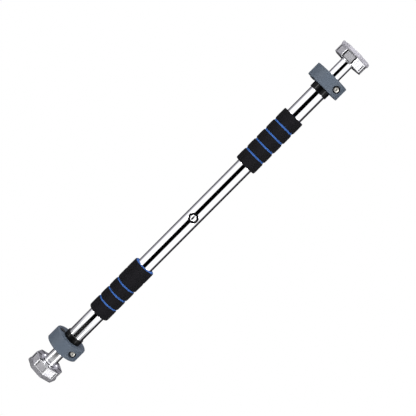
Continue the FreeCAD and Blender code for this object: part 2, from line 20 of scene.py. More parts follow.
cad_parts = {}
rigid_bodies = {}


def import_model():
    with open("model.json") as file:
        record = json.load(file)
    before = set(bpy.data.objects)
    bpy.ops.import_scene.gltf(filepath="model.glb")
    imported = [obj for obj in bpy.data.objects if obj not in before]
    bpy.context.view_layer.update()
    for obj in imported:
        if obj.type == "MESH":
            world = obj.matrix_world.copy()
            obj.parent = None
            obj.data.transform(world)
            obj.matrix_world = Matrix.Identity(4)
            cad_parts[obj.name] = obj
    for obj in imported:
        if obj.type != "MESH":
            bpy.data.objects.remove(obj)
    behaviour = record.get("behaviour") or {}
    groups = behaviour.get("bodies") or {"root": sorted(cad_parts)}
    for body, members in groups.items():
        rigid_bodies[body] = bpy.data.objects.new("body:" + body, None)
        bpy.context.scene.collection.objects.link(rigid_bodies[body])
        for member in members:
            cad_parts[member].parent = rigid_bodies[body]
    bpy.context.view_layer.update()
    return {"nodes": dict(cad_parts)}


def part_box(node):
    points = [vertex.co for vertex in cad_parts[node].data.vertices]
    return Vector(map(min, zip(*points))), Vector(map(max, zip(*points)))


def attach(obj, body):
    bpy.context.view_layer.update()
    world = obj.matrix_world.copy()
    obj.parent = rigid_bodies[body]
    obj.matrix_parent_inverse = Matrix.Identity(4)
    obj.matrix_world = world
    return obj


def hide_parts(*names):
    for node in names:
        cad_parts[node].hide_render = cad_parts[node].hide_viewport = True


LOG = logging.getLogger("pull_up_bar")
MM = 0.001
Colour = tuple[float, float, float]
Place = tuple[float, float, float]


class Side(Enum):
    """The bar's two ends. The value is the sign of the end's X."""

    RIGHT = 1
    LEFT = -1

    def name_of(self, piece: str) -> str:
        """The name of this end's node, body or piece."""
        return f"{self.name.lower()}_{piece}"


class Slot(Enum):
    """The record's material slots that new pieces are handed with their finishes; nothing reads them."""

    CHROME = "chrome"
    BLACK_PLASTIC = "black_plastic"
    BLACK_FOAM = "black_foam"
    BLUE_FOAM = "blue_foam"
    GREY_RUBBER = "grey_rubber"
    BRIGHT_STEEL = "bright_steel"


# ---- shader maths and nodes ----


@dataclass(frozen=True)
class Wire:
    """A node's output that can be used in Python expressions. Each operator adds one Math node."""

    board: "Board"
    socket: bpy.types.NodeSocket

    def maths(self, operation: str, *others: Union["Wire", float], first: bool = True) -> "Wire":
        """Adds a Math node on this value and others.

        Args:
            operation: the Math node's operation.
            others: the other values, in order.
            first: whether this value is the node's first, and not its second.

        Returns:
            The node's result.
        """
        values = [self, *others] if first else [*others, self]
        made = self.board.node("ShaderNodeMath", {"operation": operation}, dict(enumerate(values)))
        return Wire(self.board, made.outputs[0])

    def __add__(self, other: Union["Wire", float]) -> "Wire":
        """self + other."""
        return self.maths("ADD", other)

    def __radd__(self, other: float) -> "Wire":
        """other + self."""
        return self.maths("ADD", other)

    def __sub__(self, other: Union["Wire", float]) -> "Wire":
        """self - other."""
        return self.maths("SUBTRACT", other)

    def __rsub__(self, other: float) -> "Wire":
        """other - self."""
        return self.maths("SUBTRACT", other, first=False)

    def __mul__(self, other: Union["Wire", float]) -> "Wire":
        """self * other."""
        return self.maths("MULTIPLY", other)

    def __rmul__(self, other: float) -> "Wire":
        """other * self."""
        return self.maths("MULTIPLY", other)

    def __abs__(self) -> "Wire":
        """The value without its sign."""
        return self.maths("ABSOLUTE")

    def rise(self, low: float, high: float) -> "Wire":
        """A smooth step of this value.

        Args:
            low: where the step is 0.
            high: where it is 1, which may be less than low.

        Returns:
            The step.
        """
        if low > high:
            return 1.0 - self.rise(high, low)
        settings = {"interpolation_type": "SMOOTHSTEP"}
        inputs = {"Value": self, "From Min": low, "From Max": high}
        made = self.board.node("ShaderNodeMapRange", settings, inputs)
        return Wire(self.board, made.outputs[0])


@dataclass(frozen=True)
class Board:
    """A node tree that is being filled in."""

    tree: bpy.types.NodeTree

    def node(
        self,
        kind: str,
        settings: Mapping[str, object] | None = None,
        inputs: Mapping[object, object] | None = None,
    ) -> bpy.types.Node:
        """Makes one node. Its settings come first, because they can change which sockets it has.

        Args:
            kind: the node's type.
            settings: its properties by name.
            inputs: a Wire, or a plain value, for each socket by name or number.

        Returns:
            The node.
        """
        made = self.tree.nodes.new(kind)
        for key, value in (settings or {}).items():
            setattr(made, key, value)
        for key, value in (inputs or {}).items():
            if isinstance(value, Wire):
                self.tree.links.new(value.socket, made.inputs[key])
            else:
                made.inputs[key].default_value = value
        return made

    def wire(self, node: bpy.types.Node, output: Union[str, int] = 0) -> Wire:
        """One of a node's outputs, ready for expressions."""
        return Wire(self, node.outputs[output])

    def coordinates(self, stretch: Sequence[float] = (1.0, 1.0, 1.0)) -> Wire:
        """The piece's coordinates in metres, scaled by stretch."""
        place = self.wire(self.node("ShaderNodeTexCoord"), "Object")
        return self.wire(self.node("ShaderNodeMapping", {}, {"Vector": place, "Scale": stretch}))

    def parts(self, vector: Wire) -> list[Wire]:
        """A vector's X, Y and Z."""
        made = self.node("ShaderNodeSeparateXYZ", {}, {0: vector})
        return [self.wire(made, number) for number in range(3)]

    def noise(
        self, scale: float, detail: float = 3.0, roughness: float = 0.5, stretch: Sequence[float] = (1, 1, 1)
    ) -> Wire:
        """Cloudy noise from 0 to 1.

        Args:
            scale: its features to the metre, before it is stretched.
            detail: how many finer layers it has.
            roughness: how strong they are.
            stretch: what the coordinates are scaled by.

        Returns:
            The noise.
        """
        place = self.coordinates(stretch)
        inputs = {"Vector": place, "Scale": scale, "Detail": detail, "Roughness": roughness}
        return self.wire(self.node("ShaderNodeTexNoise", {}, inputs))

    def cells(self, scale: float) -> Wire:
        """The distance to the nearest of scale cells to the metre, as in foam or grain."""
        inputs = {"Vector": self.coordinates(), "Scale": scale}
        return self.wire(self.node("ShaderNodeTexVoronoi", {}, inputs), "Distance")

    def blend(self, share: Wire, low: Union[Wire, Colour], high: Colour) -> Wire:
        """A mixed colour.

        Args:
            share: how much of high is in it.
            low: the colour where share is 0.
            high: the colour where share is 1.

        Returns:
            The colour.
        """
        under = low if isinstance(low, Wire) else (*low, 1.0)
        inputs = {0: share, 6: under, 7: (*high, 1.0)}
        return self.wire(self.node("ShaderNodeMix", {"data_type": "RGBA"}, inputs), 2)

    def bump(self, height: Wire, depth: float, strength: float = 1.0) -> Wire:
        """The normal of a surface that stands depth metres proud where height is 1."""
        inputs = {"Height": height, "Distance": depth, "Strength": strength}
        return self.wire(self.node("ShaderNodeBump", {}, inputs))

    def surface(self, **inputs: object) -> None:
        """Ends the tree in one Principled shader.

        Args:
            inputs: what goes into its sockets, named with _ for a space.
        """
        named = {key.replace("_", " "): value for key, value in inputs.items()}
        shader = self.wire(self.node("ShaderNodeBsdfPrincipled", {}, named))
        self.node("ShaderNodeOutputMaterial", {}, {"Surface": shader})


@dataclass(frozen=True)
class Finish:
    """What every finish shares: it is made once and then handed to each piece."""

    name: str

    def material(self) -> bpy.types.Material:
        """Makes the finish's material the first time it is asked for.

        Returns:
            The material.
        """
        found = bpy.data.materials.get(self.name)
        if found is None:
            found = bpy.data.materials.new(self.name)
            found.use_nodes = True
            found.node_tree.nodes.clear()
            self.draw(Board(found.node_tree))
        return found

    def draw(self, board: Board) -> None:
        """Fills in the material's nodes."""
        raise NotImplementedError

    def put_on(self, piece: bpy.types.Object) -> bpy.types.Object:
        """Gives the piece this finish alone.

        Args:
            piece: a new piece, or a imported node.

        Returns:
            The same piece.
        """
        if not piece.material_slots:
            piece.data.materials.append(None)
        for held in piece.material_slots:
            held.material = self.material()
        return piece


@dataclass(frozen=True)
class Chrome(Finish):
    """Bright plate on polished steel: fine draw lines along the tube, wiped smears and a few pin pits."""

    name: str = "bright_chrome"
    tint: Colour = (0.9, 0.9, 0.92)
    smeared: Colour = (0.84, 0.84, 0.87)
    roughness: float = 0.045

    def draw(self, board: Board) -> None:
        """Roughness and colour follow the smears, and the bump is the draw lines.

        Args:
            board: the node tree to fill in.
        """
        smear = board.noise(26.0, 5.0, 0.62, (0.35, 1.0, 1.0)).rise(0.45, 0.75)
        lines = board.noise(700.0, 2.0, 0.5, (0.01, 1.0, 1.0))
        pits = board.cells(240.0).rise(0.07, 0.03)
        board.surface(
            Base_Color=board.blend(smear, self.tint, self.smeared),
            Metallic=1.0,
            Roughness=self.roughness + smear * 0.04 + lines * 0.015 + pits * 0.1,
            Normal=board.bump(lines * 0.5 - pits * 0.5, 0.0015 * MM, 0.3),
        )


@dataclass(frozen=True)
class PlatedCasting(Finish):
    """Bright plate over a casting: polished outside, and left as cast on the floors of the eight pockets, whose ends
    carry painted shade.

    A point is in a pocket where it is further in than the flats: where r cos(b) is under the floor's distance from
    the axis, b being its angle from the middle of the nearest of the eight sides.
    """

    name: str = "plated_casting"
    tint: Colour = (0.9, 0.9, 0.92)
    dull: Colour = (0.76, 0.76, 0.79)
    as_cast: Colour = (0.48, 0.475, 0.5)
    # Painted shade at the ends of the pocket floors.
    painted_dark: Colour = (0.05, 0.05, 0.055)
    roughness: float = 0.07
    cast_roughness: float = 0.36
    sides: int = 8
    turn: float = 13.0
    floor: float = 27.85 * MM
    cavity: float = 20.0 * MM
    corner: float = 18.0

    def draw(self, board: Board) -> None:
        """Ripple is a slow bump, dull patches are rougher, and the pocket floors are rough and grey, darkening to
        painted shade at their ends.

        Args:
            board: the node tree to fill in.
        """
        _, y, z = board.parts(board.coordinates())
        radius = (y * y + z * z).maths("SQRT")
        step = 360.0 / self.sides
        angle = (0.0 - y).maths("ARCTAN2", z) * math.degrees(1) - self.turn
        aside = angle.maths("FLOORED_MODULO", step) - step / 2
        depth = radius * (aside * math.radians(1)).maths("COSINE")
        pocket = depth.rise(self.floor + 0.25 * MM, self.floor) * radius.rise(self.cavity - MM, self.cavity)
        # corner marks the pocket's ends towards the octagon's corners, which are darkened with painted shade.
        corner = pocket * abs(aside).rise(self.corner - 1.5, self.corner + 1.0)
        ripple = board.noise(60.0, 2.0, 0.5)
        dull = board.noise(160.0, 4.0, 0.6).rise(0.55, 0.8)
        grain = board.noise(1500.0, 3.0)
        colour = board.blend(pocket, board.blend(dull, self.tint, self.dull), self.as_cast)
        board.surface(
            Base_Color=board.blend(corner, colour, self.painted_dark),
            Metallic=1.0,
            Roughness=self.roughness + dull * 0.08 + pocket * self.cast_roughness + grain * 0.03,
            Normal=board.bump(ripple * 0.5 + grain * pocket, 0.02 * MM, 0.5),
        )


@dataclass(frozen=True)
class SlottedPlate(Finish):
    """Satin plate on the middle button, black down its slot as painted shade and painted dark reflection.

    A point is in the slot where it is within the slot's half sizes along X and across it, in the button's own turned
    coordinates.
    """

    name: str = "slotted_plate"
    tint: Colour = (0.86, 0.86, 0.87)
    rubbed: Colour = (0.68, 0.68, 0.7)
    # Painted shade and painted dark reflection down the slot.
    painted_dark: Colour = (0.004, 0.004, 0.005)
    roughness: float = 0.3
    turn: float = math.radians(4.0)
    slot: tuple[float, float, float] = (3.95 * MM, 1.45 * MM, 0.9 * MM)
    edge: float = 0.25 * MM
    metallic: float = 0.45

    def draw(self, board: Board) -> None:
        """The slot's mask darkens the plate with painted shade and painted dark reflection and dulls it, and rubbed
        patches roughen it.

        Args:
            board: the node tree to fill in.
        """
        x, y, z = board.parts(board.coordinates())
        long, wide, off = self.slot
        across = y * math.cos(self.turn) + z * math.sin(self.turn) - off
        inside = abs(x).rise(long + self.edge, long - self.edge)
        inside = inside * abs(across).rise(wide + self.edge, wide - self.edge)
        rubbed = board.noise(420.0, 4.0, 0.6)
        fine = board.noise(3000.0, 2.0)
        board.surface(
            # The slot is filled with painted shade and painted dark reflection.
            Base_Color=board.blend(inside, board.blend(rubbed, self.tint, self.rubbed), self.painted_dark),
            Metallic=self.metallic - inside * self.metallic,
            Roughness=self.roughness + rubbed * 0.1 + inside * 0.4,
            Normal=board.bump(fine, 0.01 * MM, 0.4),
            Specular_IOR_Level=0.4,
        )


@dataclass(frozen=True)
class GlossPlastic(Finish):
    """A black moulding, shiny or worn matt, with sink marks, fine scuffs and a little dust."""

    name: str = "gloss_black"
    base: Colour = (0.002, 0.002, 0.0022)
    dust: Colour = (0.006, 0.006, 0.0065)
    roughness: float = 0.15
    shine: float = 0.13

    def draw(self, board: Board) -> None:
        """Scuffs run round the ring and roughen it; dust lifts the colour.

        Args:
            board: the node tree to fill in.
        """
        sink = board.noise(45.0, 2.0)
        scuff = board.noise(700.0, 4.0, 0.65, (1.0, 0.12, 0.12)).rise(0.55, 0.8)
        dust = board.noise(1600.0, 5.0, 0.7).rise(0.6, 0.85)
        board.surface(
            Base_Color=board.blend(dust, self.base, self.dust),
            Roughness=self.roughness + scuff * 0.22 + sink * 0.06,
            Normal=board.bump(sink + scuff * 0.1, 0.1 * MM, 0.4),
            Specular_IOR_Level=self.shine,
        )


@dataclass(frozen=True)
class SlateMoulding(Finish):
    """Satin slate-grey plastic with a spark-eroded grain, flow marks and rubbed high spots."""

    name: str = "slate_moulding"
    base: Colour = (0.074, 0.095, 0.124)
    flow: Colour = (0.092, 0.112, 0.143)
    rubbed: Colour = (0.135, 0.155, 0.19)
    rubbed_share: float = 0.12
    roughness: float = 0.4

    def draw(self, board: Board) -> None:
        """Slow flow marks in the colour, fine grain in the bump, and rubbed specks over both.

        Args:
            board: the node tree to fill in.
        """
        flow = board.noise(55.0, 4.0, 0.6, (1.0, 0.5, 1.0))
        grain = board.noise(3200.0, 3.0, 0.6)
        pock = board.cells(2300.0)
        rubbed = board.noise(420.0, 6.0, 0.7).rise(0.62, 0.78)
        under = board.blend(flow, self.base, self.flow)
        board.surface(
            Base_Color=board.blend(rubbed * self.rubbed_share, under, self.rubbed),
            Roughness=self.roughness + grain * 0.14 - rubbed * 0.08,
            Normal=board.bump(grain * 0.6 + pock * 0.5, 0.006 * MM, 0.4),
            Specular_IOR_Level=0.22,
        )


@dataclass(frozen=True)
class Foam(Finish):
    """Closed-cell foam: a field of fine cells with the walls between them catching the light."""

    base: Colour = (0.0048, 0.0046, 0.0056)
    wall: Colour = (0.0135, 0.013, 0.0152)
    faded: Colour = (0.008, 0.0078, 0.0092)
    cell_count: float = 950.0
    cell_depth: float = 0.14 * MM
    wall_share: float = 0.8
    sheen: float = 0.0
    sheen_tint: Colour = (0.6, 0.6, 0.66)

    def draw(self, board: Board) -> None:
        """Cells give the bump and the wall colour, and slow noise fades patches of the foam.

        Args:
            board: the node tree to fill in.
        """
        cells = board.cells(self.cell_count)
        burst = board.cells(self.cell_count * 0.37)
        walls = cells.rise(0.35, 0.75)
        fade = board.noise(60.0, 5.0, 0.6)
        under = board.blend(fade, self.base, self.faded)
        board.surface(
            Base_Color=board.blend(walls * self.wall_share, under, self.wall),
            Roughness=0.78 + fade * 0.16,
            Normal=board.bump(cells + burst * 0.45, self.cell_depth, 0.75),
            Specular_IOR_Level=0.05,
            Sheen_Weight=self.sheen,
            Sheen_Roughness=0.45,
            Sheen_Tint=(*self.sheen_tint, 1.0),
        )


@dataclass(frozen=True)
class Rubber(Finish):
    """Soft grey rubber with a talc bloom, moulding swirls and scuffs where it is pressed on a wall."""

    name: str = "soft_grey_rubber"
    base: Colour = (0.36, 0.35, 0.39)
    bloom: Colour = (0.46, 0.45, 0.495)
    scuffed: Colour = (0.3, 0.295, 0.32)

    def draw(self, board: Board) -> None:
        """Bloom and scuffs change the colour; the grain and swirls are the bump.

        Args:
            board: the node tree to fill in.
        """
        bloom = board.noise(120.0, 5.0, 0.6)
        scuff = board.noise(380.0, 5.0, 0.7).rise(0.6, 0.75)
        grain = board.noise(2600.0, 2.0)
        under = board.blend(bloom, self.base, self.bloom)
        board.surface(
            Base_Color=board.blend(scuff * 0.5, under, self.scuffed),
            Roughness=0.5 + bloom * 0.2 - scuff * 0.06,
            Normal=board.bump(grain + bloom * 0.5, 0.02 * MM, 0.5),
            Specular_IOR_Level=0.3,
        )


@dataclass(frozen=True)
class TurnedSteel(Finish):
    """Bright or blackened steel of a fastener: turning lines, plating mottle and a little grime."""

    name: str = "zinc_steel"
    base: Colour = (0.66, 0.66, 0.64)
    mottle: Colour = (0.5, 0.51, 0.5)
    roughness: float = 0.24
    metallic: float = 1.0

    def draw(self, board: Board) -> None:
        """Mottle changes colour and roughness, and fine lines are the bump.

        Args:
            board: the node tree to fill in.
        """
        mottle = board.noise(520.0, 4.0, 0.6)
        lines = board.noise(4200.0, 2.0, 0.5, (1.0, 1.0, 0.1))
        board.surface(
            Base_Color=board.blend(mottle, self.base, self.mottle),
            Metallic=self.metallic,
            Roughness=self.roughness + mottle * 0.16,
            Normal=board.bump(lines, 0.012 * MM, 0.5),
        )


@dataclass(frozen=True)
class NaturalNylon(Finish):
    """Off-white nylon of the inner plugs, milky and faintly cloudy."""

    name: str = "natural_nylon"
    base: Colour = (0.66, 0.65, 0.6)
    cloud: Colour = (0.76, 0.75, 0.71)

    def draw(self, board: Board) -> None:
        """Clouds in the colour and a faint moulded grain.

        Args:
            board: the node tree to fill in.
        """
        cloud = board.noise(90.0, 4.0)
        grain = board.noise(1800.0, 2.0)
        board.surface(
            Base_Color=board.blend(cloud, self.base, self.cloud),
            Roughness=0.42 + grain * 0.12,
            Normal=board.bump(grain, 0.02 * MM, 0.5),
        )


CHROME = Chrome()
CASTING = PlatedCasting()
BUTTON = SlottedPlate()
GLOSS_BLACK = GlossPlastic()
MATT_BLACK = GlossPlastic("matt_black", (0.003, 0.003, 0.0035), (0.008, 0.008, 0.009), 0.55, 0.02)
SLATE = SlateMoulding()
BLACK_FOAM = Foam("black_foam_cells")
BLUE_FOAM = Foam(
    "blue_foam_cells", (0.032, 0.095, 0.33), (0.065, 0.16, 0.45), (0.042, 0.12, 0.38),
    sheen=0.02, sheen_tint=(0.5, 0.65, 1.0),
)
RUBBER = Rubber()
# The left pad's rubber is a darker copy of the same rubber: painted shade for the end that gets less light.
SHADED_RUBBER = Rubber("grimy_grey_rubber", (0.15, 0.147, 0.16), (0.21, 0.207, 0.225), (0.11, 0.108, 0.115))
ZINC = TurnedSteel()
CREAM_ZINC = TurnedSteel("cream_zinc", (0.72, 0.7, 0.65), (0.5, 0.49, 0.45), 0.36, 0.4)
BLACK_STEEL = TurnedSteel("blackened_steel", (0.022, 0.022, 0.024), (0.04, 0.04, 0.042), 0.3, 0.85)
NYLON = NaturalNylon()


# ---- surfaces ----


def span(node: str) -> tuple[np.ndarray, np.ndarray]:
    """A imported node's lowest and highest corners."""
    low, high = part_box(node)
    return np.array(low), np.array(high)


def eased(corners: Sequence[Sequence[float]], ease: float, closed: bool = True, steps: int = 6) -> np.ndarray:
    """Rounds the corners of an outline of (x, r) points.

    Each corner P gives way to the curve (1-s)^2 (P + t u) + 2 s (1-s) P + s^2 (P + t v), for s from 0 to 1, where u
    and v point to its neighbours and t is the ease, or a third of the shorter side if that is less. A point 1.3 t
    out on each side keeps the flats flat when the surface is shaded smoothly.

    Args:
        corners: the outline, in order.
        ease: how far from the corner its curve starts.
        closed: whether the last corner joins the first. An open outline keeps its two ends as they are.
        steps: the points on each curve.

    Returns:
        The rounded outline, one (x, r) row to a point.
    """
    points = np.asarray(corners, float)
    to_last, to_next = np.roll(points, 1, 0) - points, np.roll(points, -1, 0) - points
    last, following = np.linalg.norm(to_last, axis=1), np.linalg.norm(to_next, axis=1)
    reach = np.minimum(ease, np.minimum(last, following) / 3)[:, None, None]
    u, v = (to_last / last[:, None])[:, None], (to_next / following[:, None])[:, None]
    s = np.linspace(0, 1, steps)[None, :, None]
    corner = points[:, None]
    curve = (1 - s) ** 2 * (corner + reach * u) + 2 * s * (1 - s) * corner + s**2 * (corner + reach * v)
    held = np.concatenate([corner + 1.3 * reach * u, curve, corner + 1.3 * reach * v], 1)
    if closed:
        return held.reshape(-1, 2)
    return np.concatenate([points[:1], held[1:-1].reshape(-1, 2), points[-1:]])


def turned(outline: np.ndarray, around: int = 128) -> np.ndarray:
    """The surface that an (x, r) outline makes as it turns about X: (x, -r sin a, r cos a) for a from 0 to a turn.

    Args:
        outline: the (x, r) points.
        around: the steps in a turn.

    Returns:
        An (outline, around, 3) grid of points.
    """
    angle = np.linspace(0, 2 * math.pi, around, endpoint=False)
    x, r = outline[:, :1], outline[:, 1:]
    return np.stack([x + 0 * angle, -r * np.sin(angle), r * np.cos(angle)], -1)


def sided(
    grid: np.ndarray, sides: int, turn: float, full: float, none: float, sharpness: float = 90.0
) -> np.ndarray:
    """Gives a surface turned about X a many-sided outline.

    The distance of a regular outline from its axis is (sum over its sides k of max(0, cos(a - a_k))^p)^(-1/p) times
    its flats', where a is the angle, a_k the middle of side k and p the sharpness of the corners. A point's distance
    is multiplied by that, blended in by a smooth step of the distance from none to full.

    Args:
        grid: the points.
        sides: the number of sides.
        turn: the angle about X, in degrees, of the corner next to +Z.
        full: the distance from the axis at which the outline is fully many-sided.
        none: the distance at which it stays round.
        sharpness: how sharp the corners are.

    Returns:
        The moved points.
    """
    y, z = grid[..., 1], grid[..., 2]
    angle, radius = np.arctan2(-y, z), np.hypot(y, z)
    middles = math.radians(turn) + (np.arange(sides) + 0.5) * 2 * math.pi / sides
    facing = np.clip(np.cos(angle[..., None] - middles), 0, None)
    outline = (facing**sharpness).sum(-1) ** (-1 / sharpness)
    share = np.clip((radius - none) / (full - none), 0, 1)
    factor = 1 + share * share * (3 - 2 * share) * (outline - 1)
    return np.stack([grid[..., 0], y * factor, z * factor], -1)


def stood(grid: np.ndarray, x: float, y: float) -> np.ndarray:
    """A surface turned about X, stood up along +Z at (x, y): each point (a, b, c) goes to (c + x, b + y, a)."""
    return np.stack([grid[..., 2] + x, grid[..., 1] + y, grid[..., 0]], -1)


def meshed(name: str, grid: np.ndarray, closed: bool = True) -> bpy.types.Object:
    """Makes a piece from a grid of points whose second direction goes all the way round.

    Args:
        name: the piece's name.
        grid: (n, m, 3) points.
        closed: whether the first direction joins up too.

    Returns:
        The piece, with its doubles merged, its faces turned outwards and shaded smoothly.
    """
    n, m = grid.shape[:2]
    i, j = np.meshgrid(np.arange(n if closed else n - 1), np.arange(m), indexing="ij")
    onward, round_on = (i + 1) % n, (j + 1) % m
    quads = np.stack([i * m + j, onward * m + j, onward * m + round_on, i * m + round_on], -1).reshape(-1, 4)
    mesh = bpy.data.meshes.new(name)
    mesh.from_pydata(grid.reshape(-1, 3).tolist(), [], quads.tolist())
    tidied(mesh)
    piece = bpy.data.objects.new(name, mesh)
    bpy.context.scene.collection.objects.link(piece)
    return piece


def tidied(mesh: bpy.types.Mesh) -> None:
    """Merges a mesh's doubles, turns its faces outwards and shades it smoothly.

    Args:
        mesh: the mesh, which is changed.
    """
    work = bmesh.new()
    work.from_mesh(mesh)
    bmesh.ops.remove_doubles(work, verts=work.verts, dist=0.0005 * MM)
    bmesh.ops.recalc_face_normals(work, faces=work.faces)
    work.to_mesh(mesh)
    work.free()
    mesh.shade_smooth()


def placed(
    piece: bpy.types.Object, body: str, finish: Finish, slot: Slot, *nodes: str
) -> bpy.types.Object:
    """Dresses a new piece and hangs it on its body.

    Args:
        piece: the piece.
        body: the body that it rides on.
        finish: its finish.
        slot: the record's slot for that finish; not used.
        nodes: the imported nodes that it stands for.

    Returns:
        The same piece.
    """
    finish.put_on(piece)
    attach(piece, body)
    if nodes:
        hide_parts(*nodes)
    LOG.info("%s: %d faces on %s", piece.name, len(piece.data.polygons), body)
    return piece


# ---- the object ----


@dataclass
class Tubes:
    """The polished main tube and the inner tube that slides out of each end."""

    wall: float = 1.5 * MM
    edge: float = 0.35 * MM
    around: int = 144

    def build(self) -> None:
        """Makes the three tubes as rounded-edged pipes."""
        self.pipe("main_tube", "bar")
        for side in Side:
            self.pipe(side.name_of("inner_tube"), side.name_of("slider"))

    def pipe(self, node: str, body: str) -> None:
        """A pipe with the node's length and radius.

        Args:
            node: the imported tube.
            body: the body it rides on.
        """
        low, high = span(node)
        radius = high[2]
        bore = radius - self.wall
        corners = [(low[0], radius), (high[0], radius), (high[0], bore), (low[0], bore)]
        grid = turned(eased(corners, self.edge), self.around)
        placed(meshed(f"{node}_plated", grid), body, CHROME, Slot.CHROME, node)


@dataclass
class Grip:
    """A foam sleeve: a blue core under a black skin that is cut through at the grooves."""

    side: Side
    sleeve_start: float = 132.5 * MM
    grooves: tuple[float, ...] = (158 * MM, 182 * MM, 206 * MM, 230 * MM)
    shallow: tuple[float, ...] = ()
    groove_width: float = 3.2 * MM
    shoulder: float = 3.0 * MM
    roundness: float = 2.3
    crown: float = 0.3 * MM
    lump: float = 0.1 * MM
    shallow_depth: float = 1.0 * MM
    around: int = 160
    step: float = 0.8 * MM
    band_points: int = 49
    core_ease: float = 0.6 * MM
    start: float = field(init=False)
    end: float = field(init=False)
    shift: float = field(init=False)
    bore: float = field(init=False)
    core_radius: float = field(init=False)
    skin_radius: float = field(init=False)

    def __post_init__(self) -> None:
        """Takes the sleeve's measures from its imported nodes."""
        low, high = span(self.side.name_of("grip_core"))
        self.start, self.end = np.sort(np.abs([low[0], high[0]]))
        self.shift = self.start - self.sleeve_start
        self.core_radius = high[2]
        self.bore = span("main_tube")[1][2]
        self.skin_radius = span(self.side.name_of("grip_skin"))[1][2]

    def build(self) -> None:
        """Makes the core, and one band of skin between each two grooves that go through."""
        self.dress(self.core(), BLUE_FOAM, Slot.BLUE_FOAM, self.side.name_of("grip_core"))
        skin_node = self.side.name_of("grip_skin")
        for number, (first, last) in enumerate(self.bands()):
            self.dress(self.band(number, first, last), BLACK_FOAM, Slot.BLACK_FOAM, skin_node)

    def bands(self) -> list[tuple[float, float]]:
        """Places the bands of skin between the grooves.

        Returns:
            Where each band starts and ends, from the middle of the bar outwards.
        """
        half = self.groove_width / 2
        cuts = [g + self.shift for g in self.grooves if g not in self.shallow]
        starts = [self.start, *[g + half for g in cuts]]
        ends = [*[g - half for g in cuts], self.end]
        return list(zip(starts, ends))

    def dress(self, piece: bpy.types.Object, finish: Finish, slot: Slot, node: str) -> None:
        placed(piece, "bar", finish, slot, node)

    def core(self) -> bpy.types.Object:
        """Makes the blue core: a plain sleeve whose surface has the foam's slight lumps.

        Returns:
            The core.
        """
        ends, radii = (self.start, self.end), (self.core_radius, self.bore)
        corners = [(ends[0], radii[0]), (ends[1], radii[0]), (ends[1], radii[1]), (ends[0], radii[1])]
        outline = self.refined(eased(corners, self.core_ease))
        grid = turned(outline * [self.side.value, 1.0], self.around)
        return meshed(self.side.name_of("grip_sleeve"), self.lumped(grid, self.bore, self.core_radius, 0.4))

    def band(self, number: int, first: float, last: float) -> bpy.types.Object:
        """One band of skin, with round shoulders and a slight crown.

        Its height over the core is (1 - (1 - d)^p)^(1/p) of the skin's thickness, where d is the distance from the
        nearer end, up to 1 at the shoulder's length, and p the roundness. The crown takes a little off towards both
        ends, and a shallow groove is a bell-shaped dent.

        Args:
            number: its place from the middle.
            first: where it starts.
            last: where it ends.

        Returns:
            The band.
        """
        low, high = self.core_radius + 0.02 * MM, self.skin_radius
        share = 0.5 - 0.5 * np.cos(np.linspace(0, math.pi, self.band_points))
        x = first + (last - first) * share
        inside = np.clip(np.minimum(x - first, last - x) / self.shoulder, 0, 1)
        height = (1 - (1 - inside) ** self.roundness) ** (1 / self.roundness)
        r = low + (high - low) * height - height * self.crown * (1 - 4 * share * (1 - share))
        for groove in np.array(self.shallow) + self.shift:
            r = r - height * self.shallow_depth * np.exp(-(((x - groove) / (0.45 * self.groove_width)) ** 2))
        x, r = np.concatenate([x, x[-2:0:-1]]), np.concatenate([r, np.full(len(x) - 2, low)])
        grid = turned(np.stack([x * self.side.value, r], 1), self.around)
        return meshed(self.side.name_of(f"grip_band_{number + 1}"), self.lumped(grid, low, high, 1.0))

    def refined(self, outline: np.ndarray) -> np.ndarray:
        """Cuts each side of a closed outline into equal parts no longer than a step.

        Args:
            outline: the (x, r) points.

        Returns:
            The same outline with more points.
        """
        following = np.roll(outline, -1, 0)
        length = np.linalg.norm(following - outline, axis=1)
        count = np.maximum(1, np.ceil(length / self.step)).astype(int)
        base = np.repeat(outline, count, 0)
        ahead = np.repeat(following, count, 0)
        share = (np.arange(count.sum()) - np.repeat(np.cumsum(count) - count, count)) / np.repeat(count, count)
        return base + (ahead - base) * share[:, None]

    def lumped(self, grid: np.ndarray, low: float, high: float, share: float) -> np.ndarray:
        """Moves the outer surface in by a smooth, fixed pattern: the sum of six waves along and round the sleeve.

        Args:
            grid: the surface's points.
            low: the radius at which nothing moves.
            high: the radius at which points move most.
            share: how much of the lump's height is used.

        Returns:
            The moved points.
        """
        x, y, z = grid[..., 0], grid[..., 1], grid[..., 2]
        radius, angle = np.hypot(y, z), np.arctan2(y, z)
        along = np.array([95.0, 160.0, 240.0, 330.0, 420.0, 530.0])
        turns = np.array([2, 3, 5, 7, 4, 9])
        phase = np.array([0.4, 2.1, 4.4, 1.2, 3.3, 5.6]) + self.side.value
        waves = np.sin(along * x[..., None] + turns * angle[..., None] + phase).mean(-1)
        outward = np.clip((radius - low) / (high - low), 0, 1)
        moved = radius - outward * share * self.lump * (1 + waves)
        factor = moved / radius
        return np.stack([x, y * factor, z * factor], -1)


